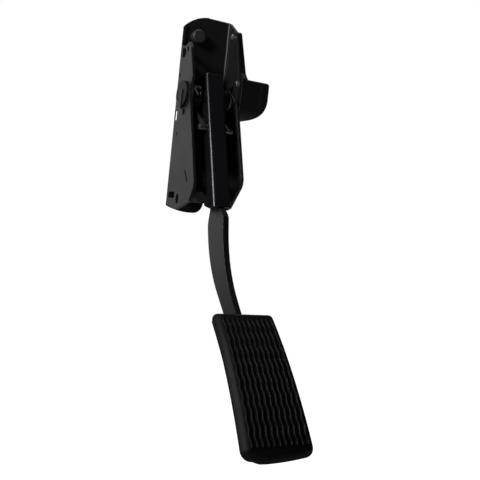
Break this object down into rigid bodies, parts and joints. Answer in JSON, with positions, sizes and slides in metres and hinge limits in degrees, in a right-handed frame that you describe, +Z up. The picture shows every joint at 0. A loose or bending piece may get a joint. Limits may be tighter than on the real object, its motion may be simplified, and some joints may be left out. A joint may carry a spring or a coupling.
{
  "type": "accelerator pedal",
  "caption": "Suspended accelerator pedal with folded bracket, sprung lever, curved arm, ribbed rubber pad and position sensor.",
  "frame": {"origin": "centre of the bracket's flat rear face, where it lies against the bulkhead", "axes": "+X is the driver's right, +Y goes into the bulkhead and away from the driver, +Z is up"},
  "size_m": [0.0932, 0.2337, 0.3961],
  "materials": {
    "bracket_paint": "satin black paint on folded sheet steel",
    "lever_paint": "semi-gloss black paint on pressed steel",
    "grey_steel": "dark grey coated steel",
    "bright_steel": "zinc plated steel",
    "spring_steel": "oiled spring wire",
    "bush_plastic": "moulded bearing plastic",
    "washer_plastic": "natural bearing plastic",
    "black_rubber": "moulded black rubber",
    "sensor_plastic": "glass-filled moulded plastic",
    "board_green": "coated circuit board",
    "contact_brass": "plated contacts"
  },
  "bodies": {
    "bracket_assembly": {"bracket": "bracket_paint", "captive_nut": "grey_steel", "left_bush": "bush_plastic", "right_bush": "bush_plastic", "left_spring": "spring_steel", "right_spring": "spring_steel", "idle_bumper": "black_rubber", "stop_screw": "bright_steel", "stop_nut": "bright_steel", "sensor_housing": "sensor_plastic", "sensor_seal": "black_rubber", "sensor_board": "board_green", "sensor_cover": "sensor_plastic", "contact_pins": "contact_brass", "sensor_screws": "bright_steel"},
    "pedal": {"pivot_shaft": "bright_steel", "shaft_clip": "bright_steel", "hub_tube": "lever_paint", "hub_pin": "bright_steel", "left_thrust_washer": "washer_plastic", "right_thrust_washer": "washer_plastic", "lever_channel": "lever_paint", "spring_pin": "bright_steel", "pedal_arm": "lever_paint", "pad_plate": "lever_paint", "pad_rubber": "black_rubber", "sensor_rotor": "washer_plastic"}
  },
  "joints": [
    {"name": "pedal_pivot", "type": "hinge", "parent": "bracket_assembly", "child": "pedal", "pos_m": [0, -0.024, 0.017], "axis": [1, 0, 0], "range_deg": [0, 17], "stiffness_Nm_per_rad": 10, "springref_deg": -28.65, "deforming": ["left_spring", "right_spring"]}
  ]
}
